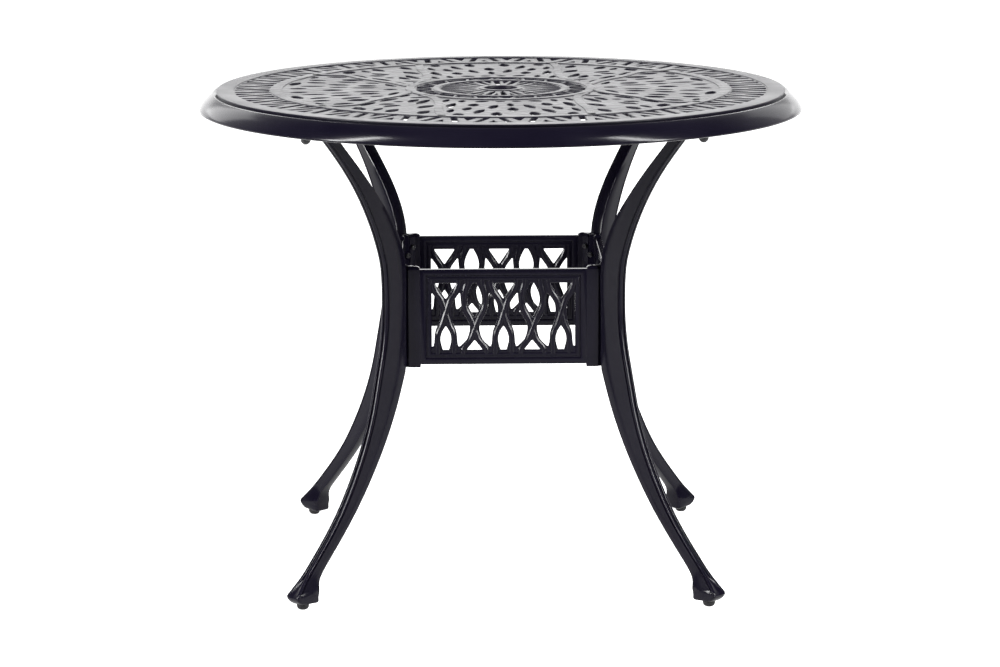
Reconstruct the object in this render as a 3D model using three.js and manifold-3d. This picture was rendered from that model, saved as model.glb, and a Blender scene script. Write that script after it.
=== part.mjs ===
// Round cast-metal patio table with an umbrella hole.
// Four bowed legs carry the top, four lattice panels make a square box between them at the
// waist, and a levelling glide screws into the bottom of each foot.
// Millimetres, +Z up, origin on the floor under the middle of the top.
// The legs stand on the diagonals, so the panels face -Y, +X, +Y and -X.

import * as THREE from 'three';
import { mergeVertices } from 'three/addons/utils/BufferGeometryUtils.js';
import Module from 'manifold-3d';

const wasm = await Module();
wasm.setup();

// General sizes
const tableHeight = 723;
const clearance = 0.3;      // left between pieces that meet
const cutOverrun = 2;       // how far a cut runs past the face it opens
const joinOverlap = 1;      // how far joined bodies of one casting run into each other

// Top: flat lattice plate inside a rolled rim
const rimRadius = 450;
const rimSlopeWidth = 26;
const flatRingWidth = 22;
const plateThickness = 6;
const flatRingOuter = rimRadius - rimSlopeWidth;
const flatRingInner = flatRingOuter - flatRingWidth;
const rimStepDepth = 2.5;
const rimStepWidth = 1.5;
const rimWidestDepth = 26.6;
const rimDepth = 30.2;
const rimLipInset = 9.5;
const rimWall = 4;

// Rings of the lattice, from the umbrella hole outwards
const umbrellaHoleRadius = 25;
const hubRingRadius = 33;
const hubDepth = 14;
const hubWall = 5;
const sunburstOuter = 90;
const bandInner = 104;
const bandOuter = 127;
const fieldInner = 145;
const borderMargin = 6;     // plain metal between the border's openings and the flat ring
const borderWidth = 51;
const innerRingWidth = 20;  // the plain ring inside the border
const borderOuter = flatRingInner - borderMargin;
const borderInner = borderOuter - borderWidth;
const fieldOuter = borderInner - innerRingWidth;
const patternTurn = 2.9;    // degrees that the lattice is turned from the legs' frame
const sideAxis = 90;        // degrees from the front axis

// Slots of the lattice
const sunburstRepeats = 20;
const sunburstRib = 4.4;
const sunburstNeck = 13;       // from the hub ring to a long slot's shoulders
const sunburstNeckWidth = 6;
const bandRepeats = 20;
const bandRib = 5;
const borderRepeats = 32;
const borderTriangleBase = 17;
const borderTriangleHeight = 28;
const borderSlotWidth = 9;
const borderSlotLean = 13;
const broadSlot = 20;
const wideSlot = 16;
const slot = 13;
const narrowSlot = 10;

// Leg: the section narrows outwards and its outer face has a groove
const legGrooveWidth = 3.2;
const legGrooveDepth = 2.2;
const legInnerWidth = 22;
const legOuterWidth = 12;
const waistInner = 212;     // from the table's axis to the flat inner face
const waistDepth = 36;
const waistHeight = 415;

// Leg flange under the top, with a bolt each side of the leg
const flareInset = 98;      // from the rim to the leg's inner face where it meets the flange
const flareDepth = 21;
const flangeThickness = 6;
const flangeWidth = 27;
const innerBoltReach = 60;  // from the leg's inner face to each bolt
const outerBoltReach = 48;
const bossRadius = 12;
const flareInner = rimRadius - flareInset;
const innerBoltRadius = flareInner - innerBoltReach;
const outerBoltRadius = flareInner + outerBoltReach;

// Foot
const footInset = 33;       // from the rim to the middle of the glide
const ankleInset = 45;      // from the middle of the glide to the ankle's inner face
const ankleDepth = 28;
const footRadius = rimRadius - footInset;
const ankleInner = footRadius - ankleInset;
const footHeight = 8.5;
const footWidth = 41;
const ankleHeight = 62;

// Levelling glide
const glideRadius = 9.2;
const glideTopRadius = 7;
const studRadius = 4;
const studLength = 26;
const studInPad = 4.5;
const studWellSpare = 2;

// Lattice panels at the waist
const panelTop = 474.5;
const panelBottom = 333;
const panelStrip = 21;      // width of the frame above and below the lattice
const panelSideStrip = 15;
const panelDepth = 10;
const latticeThickness = 6;
const mouldingStep = 8.5;   // width of the lower inner strip of the frame
const postRise = 4.5;       // how far a post stands past the frame at each end
const postWidth = 20;
const postDepth = 12;
const lugDepth = 17;        // metal that each panel screw passes, from the leg inwards
const postTop = panelTop + postRise;
const postBottom = panelBottom - postRise;
const panelOpeningTop = panelTop - panelStrip;
const panelOpeningBottom = panelBottom + panelStrip;
const postCapInset = 2.5;
const postCapHeight = 3;

// Bolts and screws
const boltRadius = 3;
const boltHeadRadius = 7;
const boltHeadHeight = 8.5;
const boltHeadSide = 3;
const boltInBoss = 18;
const screwRadius = 2.5;
const screwHeadRadius = 4.2;
const screwHeadHeight = 4.5;
const screwHeadSide = 2.5;
const screwInLeg = 14;
const screwFromEnd = 20;    // from the end of the post to the first screw
const screwStagger = 12;    // the two panels of a corner have screws at different heights

// Round pieces are made with these numbers of sides
const rimSides = 64;
const hubSides = 24;
const bossSides = 10;
const holeSides = 8;
const footSides = 12;
const boltSides = 8;
const screwSides = 6;
const studSides = 8;
const glideSides = 12;

const degree = Math.PI / 180;

// Finishes
const powderCoat = { color: 0x1d1e21, roughness: 0.42, metalness: 0.25 };
const blackSteel = { color: 0x1a1b1d, roughness: 0.35, metalness: 0.7 };
const zincSteel = { color: 0x8b8d90, roughness: 0.35, metalness: 0.9 };
const nylon = { color: 0x151516, roughness: 0.55, metalness: 0 };

const table = new THREE.Group();
table.name = 'umbrella_table';

function addPiece(name, geometry, finish) {
  const piece = new THREE.Mesh(geometry, new THREE.MeshStandardMaterial(finish));
  piece.name = name;
  table.add(piece);
  return piece;
}

// Solids for cutting and joining

function toSolid(geometry) {
  const bare = geometry.clone();
  bare.deleteAttribute('normal');
  bare.deleteAttribute('uv');
  const merged = mergeVertices(bare);
  const vertProperties = new Float32Array(merged.attributes.position.array);
  const triVerts = new Uint32Array(merged.index.array);
  return new wasm.Manifold(new wasm.Mesh({ numProp: 3, vertProperties, triVerts }));
}

function toGeometry(solid) {
  const mesh = solid.getMesh();
  const geometry = new THREE.BufferGeometry();
  geometry.setAttribute('position', new THREE.BufferAttribute(mesh.vertProperties, 3));
  geometry.setIndex(new THREE.BufferAttribute(mesh.triVerts, 1));
  geometry.computeVertexNormals();
  return geometry;
}

function joinAll(geometries) {
  return geometries.map(toSolid).reduce((whole, next) => whole.add(next));
}

function cutAll(solid, geometries) {
  return geometries.map(toSolid).reduce((rest, next) => rest.subtract(next), solid);
}

// A profile of [radius, height] pairs turned about Z
function turned(profile, sides) {
  const points = profile.map(([radius, height]) => new THREE.Vector2(radius, height));
  return new THREE.LatheGeometry(points, sides).rotateX(Math.PI / 2);
}

// A round bar from one height to another
function bar(radius, bottom, top, sides) {
  return turned([[0, bottom], [radius, bottom], [radius, top], [0, top]], sides);
}

// A solid skinned over rings of points, the first ring lowest, each ring anticlockwise from above
function skinned(rings) {
  const count = rings[0].length;
  const positions = rings.flat(2);
  const index = [];
  for (let level = 0; level + 1 < rings.length; level += 1) {
    for (let side = 0; side < count; side += 1) {
      const next = (side + 1) % count;
      const low = level * count;
      const high = low + count;
      index.push(low + side, low + next, high + next);
      index.push(low + side, high + next, high + side);
    }
  }
  const last = (rings.length - 1) * count;
  const outline = rings[0].map(([x, y]) => new THREE.Vector2(x, y));
  const endOutline = rings[rings.length - 1].map(([x, y]) => new THREE.Vector2(x, y));
  THREE.ShapeUtils.triangulateShape(outline, []).forEach(([a, b, c]) => index.push(a, c, b));
  THREE.ShapeUtils.triangulateShape(endOutline, []).forEach(([a, b, c]) => {
    index.push(last + a, last + b, last + c);
  });
  const geometry = new THREE.BufferGeometry();
  geometry.setAttribute('position', new THREE.Float32BufferAttribute(positions, 3));
  geometry.setIndex(index);
  return geometry;
}

// Outlines, lists of [x, y], drawn out into plates from one height to another
function drawnOut(outlines, bottom, top) {
  const shapes = outlines.map((outline) => (
    new THREE.Shape(outline.map(([x, y]) => new THREE.Vector2(x, y)))
  ));
  const geometry = new THREE.ExtrudeGeometry(shapes, { depth: top - bottom, bevelEnabled: false });
  return geometry.translate(0, 0, bottom);
}

// A flat plate with openings right through it
function plate(outline, openings, bottom, thickness) {
  const top = bottom + thickness;
  const whole = drawnOut([outline], bottom, top);
  const cutters = drawnOut(openings, bottom - cutOverrun, top + cutOverrun);
  return toGeometry(cutAll(toSolid(whole), [cutters]));
}

function circle(radius, sides) {
  return Array.from({ length: sides }, (unused, side) => {
    const angle = 2 * Math.PI * side / sides;
    return [radius * Math.cos(angle), radius * Math.sin(angle)];
  });
}

function rectangle(left, low, right, high) {
  return [[left, low], [right, low], [right, high], [left, high]];
}

// Lattice of the top, in polar places: degrees from the front axis, and millimetres from the middle

function polar(angle, radius) {
  const turn = (angle + patternTurn) * degree;
  return [radius * Math.sin(turn), -radius * Math.cos(turn)];
}

// Degrees that a length takes up at a radius
function spread(length, radius) {
  return length / radius / degree;
}

// The petals round the umbrella hole: slots that open outwards, with shorter ones between them
function sunburstSlots() {
  const slots = [];
  const pitch = 360 / sunburstRepeats;
  const shortStart = (hubRingRadius + sunburstOuter) / 2;
  const half = pitch / 4 - spread(sunburstRib / 2, sunburstOuter);
  const neck = hubRingRadius + sunburstNeck;
  const halfNeck = spread(sunburstNeckWidth / 2, neck);
  for (let repeat = 0; repeat < sunburstRepeats; repeat += 1) {
    const angle = repeat * pitch;
    const midway = angle + pitch / 2;
    slots.push([polar(angle, hubRingRadius), polar(angle + halfNeck, neck),
      polar(angle + half, sunburstOuter), polar(angle - half, sunburstOuter),
      polar(angle - halfNeck, neck)]);
    slots.push([polar(midway, shortStart), polar(midway + half, sunburstOuter),
      polar(midway - half, sunburstOuter)]);
  }
  return slots;
}

// The small band outside the petals: triangles that point in and out by turns
function bandSlots() {
  const slots = [];
  const pitch = 360 / bandRepeats;
  const ends = [[bandInner, bandOuter], [bandOuter, bandInner]];
  for (let half = 0; half < 2 * bandRepeats; half += 1) {
    const angle = half * pitch / 2;
    const [base, tip] = ends[half % 2];
    const reach = pitch / 2 - spread(bandRib, base);
    slots.push([polar(angle - reach, base), polar(angle, tip), polar(angle + reach, base)]);
  }
  return slots;
}

// The border: triangles standing on each ring by turns, and a leaning slot between each two
function borderSlots() {
  const slots = [];
  const pitch = 360 / borderRepeats;
  const halfBase = borderTriangleBase / 2;
  const halfSlot = borderSlotWidth / 2;
  const halfLean = borderSlotLean / 2;
  for (let half = 0; half < 2 * borderRepeats; half += 1) {
    const angle = half * pitch / 2;
    const outwards = half % 2 === 0;
    const base = outwards ? borderInner : borderOuter;
    const tip = outwards ? base + borderTriangleHeight : base - borderTriangleHeight;
    slots.push([polar(angle - spread(halfBase, base), base), polar(angle, tip),
      polar(angle + spread(halfBase, base), base)]);
    const lean = outwards ? halfLean : -halfLean;
    const midway = angle + pitch / 4;
    slots.push([
      polar(midway + spread(lean - halfSlot, borderInner), borderInner),
      polar(midway + spread(lean + halfSlot, borderInner), borderInner),
      polar(midway + spread(halfSlot - lean, borderOuter), borderOuter),
      polar(midway - spread(lean + halfSlot, borderOuter), borderOuter),
    ]);
  }
  return slots;
}

// Slots of the main field in one quarter, from the front axis to the side axis. Each has its two
// tips as [degrees, share of the way from the inner to the outer ring], and its width.
const quarterShares = [
  [5.6, 0.3, 7.3, 0.54, slot],
  [15.4, 0.23, 14.6, 0.4, wideSlot],
  [24.7, 0.24, 22.1, 0.52, slot],
  [15, 0.47, 15.2, 0.66, slot],
  [19.7, 0.6, 18.6, 0.81, narrowSlot],
  [9.5, 0.58, 10.9, 0.85, slot],
  [5.2, 0.75, 4.7, 0.98, wideSlot],
  [16, 0.85, 14.2, 0.985, wideSlot],
  [25.6, 0.755, 25.1, 0.965, wideSlot],
  [35.3, 0.77, 34.2, 0.98, wideSlot],
  [47.4, 0.875, 42, 0.97, broadSlot],
  [29.9, 0.43, 30.9, 0.655, wideSlot],
  [41.4, 0.14, 36.8, 0.43, slot],
  [46.8, 0.18, 42.8, 0.37, slot],
  [34, 0.04, 31, 0.2, narrowSlot],
  [10.6, 0.06, 17, 0.13, slot],
  [1.6, 0.07, 7, 0.075, narrowSlot],
  [43.9, 0.52, 47, 0.635, slot],
  [40.3, 0.55, 41.8, 0.73, slot],
  [40.2, 0.79, 39, 0.95, narrowSlot],
  [51.9, 0.56, 48.5, 0.79, slot],
  [55.6, 0.26, 52.4, 0.5, slot],
  [59.6, 0.48, 61, 0.68, broadSlot],
  [61.8, 0.95, 58, 0.955, narrowSlot],
  [54.4, 0.72, 56.3, 0.9, wideSlot],
  [78.4, 0.955, 71.4, 0.94, wideSlot],
  [64.6, 0.78, 65.2, 0.93, slot],
  [76.1, 0.24, 76.2, 0.41, wideSlot],
  [75, 0.48, 74.6, 0.67, slot],
  [85.6, 0.8, 85.4, 0.95, slot],
  [77.5, 0.07, 68, 0.21, narrowSlot],
  [65.2, 0.045, 58.8, 0.19, narrowSlot],
  [67.1, 0.27, 66.4, 0.4, narrowSlot],
  [82.4, 0.21, 83.4, 0.44, narrowSlot],
  [71, 0.71, 70.6, 0.885, slot],
  [79.2, 0.67, 79.8, 0.885, narrowSlot],
  [81.4, 0.47, 81.6, 0.63, narrowSlot],
  [66.6, 0.47, 66.4, 0.66, slot],
  [25, 0.04, 23, 0.17, narrowSlot],
  [49.4, 0.05, 53.6, 0.17, narrowSlot],
  [48.6, 0.43, 46.6, 0.36, narrowSlot],
];

// Slots on the front and back axes, and on the side axes
const frontAxisShares = [[0.2, 0.38, narrowSlot], [0.46, 0.68, wideSlot]];
const sideAxisShares = [[0.05, 0.17, slot], [0.5, 0.68, wideSlot]];
const slotShoulderShare = 0.28;   // how far along a slot is at its full width, from either tip

function fieldRadius(share) {
  return fieldInner + share * (fieldOuter - fieldInner);
}

function leafSlot(angleA, shareA, angleB, shareB, width) {
  const start = new THREE.Vector2(...polar(angleA, fieldRadius(shareA)));
  const end = new THREE.Vector2(...polar(angleB, fieldRadius(shareB)));
  const along = end.clone().sub(start).normalize();
  const across = new THREE.Vector2(-along.y, along.x).multiplyScalar(width / 2);
  const near = start.clone().lerp(end, slotShoulderShare);
  const far = end.clone().lerp(start, slotShoulderShare);
  return [start, near.clone().sub(across), far.clone().sub(across), end, far.clone().add(across),
    near.clone().add(across)].map(({ x, y }) => [x, y]);
}

function fieldSlots() {
  const slots = [];
  for (const halfTurn of [0, 180]) {
    for (const [angleA, shareA, angleB, shareB, width] of quarterShares) {
      slots.push(leafSlot(halfTurn + angleA, shareA, halfTurn + angleB, shareB, width));
      slots.push(leafSlot(halfTurn - angleA, shareA, halfTurn - angleB, shareB, width));
    }
    for (const [shareA, shareB, width] of frontAxisShares) {
      slots.push(leafSlot(halfTurn, shareA, halfTurn, shareB, width));
    }
    for (const [shareA, shareB, width] of sideAxisShares) {
      slots.push(leafSlot(halfTurn + sideAxis, shareA, halfTurn + sideAxis, shareB, width));
    }
  }
  return slots;
}

// Top casting

const plateBottom = tableHeight - plateThickness;
const rimBottom = tableHeight - rimDepth;
const flangeTop = rimBottom - clearance;

// The rim's outer curve, from the step to its widest circle, as shares of its width and depth
const rimCurveShares = [[0.36, 0.2], [0.64, 0.44], [0.86, 0.71]];

function rimProfile() {
  const stepRadius = flatRingOuter + rimStepWidth;
  const stepHeight = tableHeight - rimStepDepth;
  const widestHeight = tableHeight - rimWidestDepth;
  const lipRadius = rimRadius - rimLipInset;
  const curve = rimCurveShares.map(([across, down]) => [
    stepRadius + across * (rimRadius - stepRadius),
    stepHeight + down * (widestHeight - stepHeight),
  ]);
  const [shoulder] = curve;
  return [
    [flatRingInner, plateBottom],
    [flatRingOuter, plateBottom],
    [shoulder[0] - rimWall, shoulder[1] - rimWall],
    [lipRadius, rimBottom + rimWall],
    [lipRadius, rimBottom],
    [rimRadius - rimWall, rimBottom],
    [rimRadius, widestHeight],
    ...curve.reverse(),
    [stepRadius, stepHeight],
    [flatRingOuter, stepHeight],
    [flatRingOuter, tableHeight],
    [flatRingInner, tableHeight],
    [flatRingInner, plateBottom],
  ];
}

// Where the legs stand, in degrees from +X
const legAngles = { front_left: 225, front_right: 315, rear_right: 45, rear_left: 135 };
const boltRadii = { inner: innerBoltRadius, outer: outerBoltRadius };

function placed(geometry, radius, angle) {
  return geometry.translate(radius, 0, 0).rotateZ(angle * degree);
}

function topCasting() {
  const disc = circle(flatRingInner + joinOverlap, rimSides);
  const openings = [circle(umbrellaHoleRadius, hubSides), ...sunburstSlots(), ...bandSlots(),
    ...borderSlots(), ...fieldSlots()];
  const bodies = [plate(disc, openings, plateBottom, plateThickness), turned(rimProfile(), rimSides)];
  const hubOuter = umbrellaHoleRadius + hubWall;
  const hubBottom = tableHeight - hubDepth;
  const hubTop = plateBottom + joinOverlap;
  bodies.push(turned([[umbrellaHoleRadius, hubBottom], [hubOuter, hubBottom], [hubOuter, hubTop],
    [umbrellaHoleRadius, hubTop], [umbrellaHoleRadius, hubBottom]], hubSides));
  const holes = [];
  for (const angle of Object.values(legAngles)) {
    for (const radius of Object.values(boltRadii)) {
      bodies.push(placed(bar(bossRadius, rimBottom, plateBottom + joinOverlap, bossSides), radius, angle));
      const holeTop = flangeTop + boltInBoss + clearance;
      const hole = bar(boltRadius + clearance, rimBottom - cutOverrun, holeTop, holeSides);
      holes.push(placed(hole, radius, angle));
    }
  }
  return toGeometry(cutAll(joinAll(bodies), holes));
}

addPiece('table_top', topCasting(), powderCoat);

// Legs, built along +X and then turned to their diagonals

const flangeBottom = flangeTop - flangeThickness;

// Stations of the leg above the waist, and below it, as [share of the height, share of the outer
// face's way out, share of the inner face's way out]
const upperShares = [[0.235, 0.016, 0], [0.37, 0.096, 0.065], [0.506, 0.219, 0.203],
  [0.646, 0.384, 0.4], [0.78, 0.584, 0.614], [0.92, 0.838, 0.86], [1, 1, 1]];
const lowerShares = [[0.13, 0.028, 0], [0.245, 0.085, 0], [0.3, 0.115, 0.035], [0.42, 0.184, 0.131],
  [0.547, 0.29, 0.262], [0.674, 0.434, 0.425], [0.8, 0.61, 0.618], [0.9, 0.79, 0.8], [1, 1, 1]];
const lowerInnerWidth = 15;
const lowerOuterWidth = 13;

function legRing(height, inner, outer, innerWidth, outerWidth) {
  const halfIn = innerWidth / 2;
  const halfOut = outerWidth / 2;
  const halfGroove = legGrooveWidth / 2;
  return [
    [inner, halfIn, height],
    [inner, -halfIn, height],
    [outer, -halfOut, height],
    [outer, -halfGroove, height],
    [outer - legGrooveDepth, 0, height],
    [outer, halfGroove, height],
    [outer, halfOut, height],
  ];
}

function between(from, to, share) {
  return from + share * (to - from);
}

function legShaft() {
  const waistOuter = waistInner + waistDepth;
  const topEnd = flangeBottom + joinOverlap;
  const upper = upperShares.map(([up, out, inn]) => legRing(
    between(waistHeight, topEnd, up),
    between(waistInner, flareInner, inn),
    between(waistOuter, flareInner + flareDepth, out),
    legInnerWidth,
    legOuterWidth,
  ));
  const lower = lowerShares.map(([down, out, inn]) => legRing(
    between(waistHeight, ankleHeight, down),
    between(waistInner, ankleInner, inn),
    between(waistOuter, ankleInner + ankleDepth, out),
    between(legInnerWidth, lowerInnerWidth, down),
    between(legOuterWidth, lowerOuterWidth, down),
  ));
  const waist = legRing(waistHeight, waistInner, waistOuter, legInnerWidth, legOuterWidth);
  return skinned([...lower.reverse(), waist, ...upper]);
}

// The paw: [share of the way from the foot's underside to the ankle, share of the foot's width,
// share of the way from the ankle's middle to the glide's middle]
const pawShares = [[0, 0.76, 1.05], [0.075, 0.93, 1.1], [0.215, 1, 1.13], [0.42, 0.93, 0.94],
  [0.675, 0.79, 0.6], [1.07, 0.58, -0.05]];
const toeDepthShare = 0.1;

function paw() {
  const ankleMiddle = ankleInner + ankleDepth / 2;
  return skinned(pawShares.map(([up, width, out]) => {
    const centre = between(ankleMiddle, footRadius, out);
    const height = between(footHeight, ankleHeight, up);
    return circle(footWidth / 2 * width, footSides).map(([x, y], side) => {
      const toe = side % 2 === 0 ? 1 : 1 - toeDepthShare * width * width;
      return [centre + x * toe, y * toe, height];
    });
  }));
}

// Screws of the panels enter the leg's inner face square to it, beside the leg's middle plane
const mitreGap = clearance / 2;
const panelFace = (waistInner + legInnerWidth / 2) * Math.SQRT1_2;
const panelEnd = (waistInner - clearance) * Math.SQRT2 - panelFace;
const postInnerEdge = panelEnd - postWidth;
const lugFace = waistInner - lugDepth;
const lugWidth = 2 * (panelFace - postDepth) - lugFace * Math.SQRT2;
const screwOffset = (lugWidth * Math.SQRT1_2 + mitreGap) / 2;

// Heights of the screws in the panels on the front and back, and in those on the sides
function screwHeights(onSide) {
  const inset = screwFromEnd + (onSide ? screwStagger : 0);
  return { lower: postBottom + inset, upper: postTop - inset };
}

// Along +X, a hole or a screw that points outwards through the inner face
function alongLeg(geometry, offset, height) {
  return geometry.rotateY(Math.PI / 2).translate(0, offset, height);
}

// Which way the front-or-back panel lies from each leg's middle plane
const panelSides = { front_left: 1, front_right: -1, rear_right: 1, rear_left: -1 };

function legCasting(sideOfPanel) {
  const flangeEnds = [innerBoltRadius, outerBoltRadius];
  const bodies = [legShaft(), paw()];
  const [innerEnd, outerEnd] = flangeEnds;
  bodies.push(drawnOut([rectangle(innerEnd, -flangeWidth / 2, outerEnd, flangeWidth / 2)],
    flangeBottom, flangeTop));
  const holes = [];
  for (const end of flangeEnds) {
    const round = bar(flangeWidth / 2, flangeBottom, flangeTop, bossSides);
    bodies.push(round.translate(end, 0, 0));
    const hole = bar(boltRadius + clearance, flangeBottom - cutOverrun, flangeTop + cutOverrun, holeSides);
    holes.push(hole.translate(end, 0, 0));
  }
  for (const onSide of [false, true]) {
    const offset = (onSide ? -1 : 1) * sideOfPanel * screwOffset;
    for (const height of Object.values(screwHeights(onSide))) {
      const hole = bar(screwRadius + clearance, waistInner - cutOverrun,
        waistInner + screwInLeg + clearance, holeSides);
      holes.push(alongLeg(hole, offset, height));
    }
  }
  const wellTop = footHeight + clearance + studLength - studInPad + studWellSpare;
  const well = bar(studRadius + clearance, -cutOverrun, wellTop, holeSides);
  holes.push(well.translate(footRadius, 0, 0));
  return toGeometry(cutAll(joinAll(bodies), holes));
}

for (const [place, angle] of Object.entries(legAngles)) {
  const leg = addPiece(`leg_${place}`, legCasting(panelSides[place]), powderCoat);
  leg.rotation.z = angle * degree;
}

// Lattice panels, built facing -Y and then turned

// The ribs cross in pairs, one pair to each half pitch. By turns a pair crosses halfway up or low
// down. Half widths, as shares of the half pitch, against shares of the opening's height: the
// pair's outer edges, and the leaf and the triangle inside it.
const crossingShares = [
  {
    outside: [[0.065, 0.42], [0.27, 0.37], [0.44, 0.225], [0.56, 0.194], [0.7, 0.23], [0.83, 0.43]],
    leaf: [[0, 0.104], [0.15, 0.184], [0.27, 0.13], [0.36, 0]],
    triangle: [[0.76, 0], [1, 0.385]],
  },
  {
    outside: [[0.065, 0.48], [0.15, 0.28], [0.3, 0.17], [0.4, 0.198], [0.58, 0.42], [0.83, 0.5]],
    leaf: [[0.48, 0], [0.58, 0.132], [0.69, 0.243], [0.79, 0.255], [0.9, 0.18], [1, 0.057]],
    triangle: [[0, 0.279], [0.15, 0]],
  },
];
const endSpaceShare = 0.52;   // from the last pair's middle to the frame
const betweenPairsShares = [0.065, 0.15, 0.3, 0.44, 0.57, 0.7, 0.83];
const pairRepeats = 5;
const lastPair = (pairRepeats - 1) / 2;
const panelOpeningHalf = postInnerEdge - panelSideStrip;
const latticeHalfPitch = panelOpeningHalf / (lastPair + endSpaceShare);

function crossingOf(pair) {
  return crossingShares[Math.abs(pair % 2)];
}

function halfWidth(shares, place) {
  const next = Math.max(1, shares.findIndex(([at]) => at >= place));
  const [lowAt, low] = shares[next - 1];
  const [highAt, high] = shares[next];
  return latticeHalfPitch * between(low, high, (place - lowAt) / (highAt - lowAt));
}

// The opening between a left edge and a right edge. They may meet in a tip.
function openingBetween(leftOf, rightOf, places) {
  const height = panelOpeningTop - panelOpeningBottom;
  const down = places.filter((place) => rightOf(place) > leftOf(place)).reverse();
  const edge = [...places.map((place) => [rightOf(place), place]),
    ...down.map((place) => [leftOf(place), place])];
  return edge.map(([x, place]) => [x, panelOpeningBottom + place * height]);
}

function latticeOpenings() {
  const openings = [];
  for (let pair = -lastPair; pair <= lastPair; pair += 1) {
    const middle = pair * latticeHalfPitch;
    const { leaf, triangle } = crossingOf(pair);
    for (const shares of [leaf, triangle]) {
      const half = (place) => halfWidth(shares, place);
      openings.push(openingBetween((place) => middle - half(place), (place) => middle + half(place),
        shares.map(([place]) => place)));
    }
  }
  for (let pair = -lastPair - 1; pair <= lastPair; pair += 1) {
    const middle = pair * latticeHalfPitch;
    const left = (place) => Math.max(-panelOpeningHalf,
      middle + halfWidth(crossingOf(pair).outside, place));
    const right = (place) => Math.min(panelOpeningHalf,
      middle + latticeHalfPitch - halfWidth(crossingOf(pair + 1).outside, place));
    openings.push(openingBetween(left, right, betweenPairsShares));
  }
  return openings;
}

// The post at one end of a panel: its end is cut to the leg's face and to the corner's mitre
function panelPost(side) {
  const meet = (waistInner - clearance) * Math.SQRT2;
  const diagonal = mitreGap * Math.SQRT1_2;
  const lug = lugFace * Math.SQRT2;
  const innerSide = panelFace - postDepth;
  const outline = [
    [postInnerEdge, -panelFace],
    [panelEnd, -panelFace],
    [meet / 2 - diagonal, -meet / 2 - diagonal],
    [lug / 2 - diagonal, -lug / 2 - diagonal],
    [lug - innerSide, -innerSide],
    [postInnerEdge, -innerSide],
  ];
  const middleX = panelEnd - postWidth / 2;
  const middleY = -(panelFace + innerSide) / 2;
  const capShare = 1 - 2 * postCapInset / postWidth;
  const ring = (height, share) => {
    const points = outline.map(([x, y]) => [
      side * between(middleX, x, share), between(middleY, y, share), height]);
    return side > 0 ? points : points.reverse();
  };
  return skinned([ring(postBottom, 1), ring(postTop - postCapHeight, 1), ring(postTop, capShare)]);
}

// Upright plates are drawn flat and stood up, so that their heights run along Z
function upright(outline, openings, inset, thickness) {
  return plate(outline, openings, 0, thickness).rotateX(Math.PI / 2)
    .translate(0, inset + thickness - panelFace, 0);
}

function panelCasting(onSide) {
  const frameHalf = postInnerEdge + joinOverlap;
  const outline = rectangle(-frameHalf, panelBottom, frameHalf, panelTop);
  const lowStrip = rectangle(-panelOpeningHalf - mouldingStep, panelOpeningBottom - mouldingStep,
    panelOpeningHalf + mouldingStep, panelOpeningTop + mouldingStep);
  const latticeInset = (panelDepth - latticeThickness) / 2;
  const bodies = [upright(outline, latticeOpenings(), latticeInset, latticeThickness),
    upright(outline, [lowStrip], 0, panelDepth), panelPost(1), panelPost(-1)];
  const holes = [];
  for (const [angle, offset] of [[legAngles.front_right, -screwOffset],
    [legAngles.front_left, screwOffset]]) {
    for (const height of Object.values(screwHeights(onSide))) {
      const hole = bar(screwRadius + clearance, lugFace - cutOverrun, waistInner + cutOverrun, holeSides);
      holes.push(alongLeg(hole, offset, height).rotateZ(angle * degree));
    }
  }
  return toGeometry(cutAll(joinAll(bodies), holes));
}

const panelTurns = { front: 0, right: 90, rear: 180, left: 270 };
const isSide = (place) => place === 'left' || place === 'right';

for (const [place, turn] of Object.entries(panelTurns)) {
  const panel = addPiece(`panel_${place}`, panelCasting(isSide(place)), powderCoat);
  panel.rotation.z = turn * degree;
}

// Domed bolts that hold each leg's flange to the bosses of the top
const domeShares = [[0.66, 0.16]];

function flangeBolt() {
  const headTop = flangeBottom - clearance;
  const headBottom = headTop - boltHeadHeight;
  const dome = boltHeadHeight - boltHeadSide;
  return turned([
    [0, headBottom],
    ...domeShares.map(([out, up]) => [boltHeadRadius * out, headBottom + dome * up]),
    [boltHeadRadius, headBottom + dome],
    [boltHeadRadius, headTop],
    [boltRadius, headTop],
    [boltRadius, flangeTop + boltInBoss],
    [0, flangeTop + boltInBoss],
  ], boltSides);
}

for (const [place, angle] of Object.entries(legAngles)) {
  for (const [end, radius] of Object.entries(boltRadii)) {
    addPiece(`bolt_${place}_${end}`, placed(flangeBolt(), radius, angle), blackSteel);
  }
}

// Screws that hold the panels to the legs, heads inside the box
function panelScrew() {
  const headTop = lugFace - clearance;
  const headBottom = headTop - screwHeadHeight;
  const dome = screwHeadHeight - screwHeadSide;
  return turned([
    [0, headBottom],
    ...domeShares.map(([out, up]) => [screwHeadRadius * out, headBottom + dome * up]),
    [screwHeadRadius, headBottom + dome],
    [screwHeadRadius, headTop],
    [screwRadius, headTop],
    [screwRadius, waistInner + screwInLeg],
    [0, waistInner + screwInLeg],
  ], screwSides);
}

for (const [place, angle] of Object.entries(legAngles)) {
  for (const onSide of [false, true]) {
    const offset = (onSide ? -1 : 1) * panelSides[place] * screwOffset;
    for (const [level, height] of Object.entries(screwHeights(onSide))) {
      const screw = alongLeg(panelScrew(), offset, height).rotateZ(angle * degree);
      const panel = onSide ? 'side' : 'face';
      addPiece(`screw_${place}_${panel}_${level}`, screw, blackSteel);
    }
  }
}

// Levelling glides: a nylon pad on a threaded stud, wound fully into the foot
const padTop = footHeight - clearance;
const studBottom = padTop - studInPad;
const padShares = [[0.86, 0], [1, 0.16], [1, 0.6]];

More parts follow.
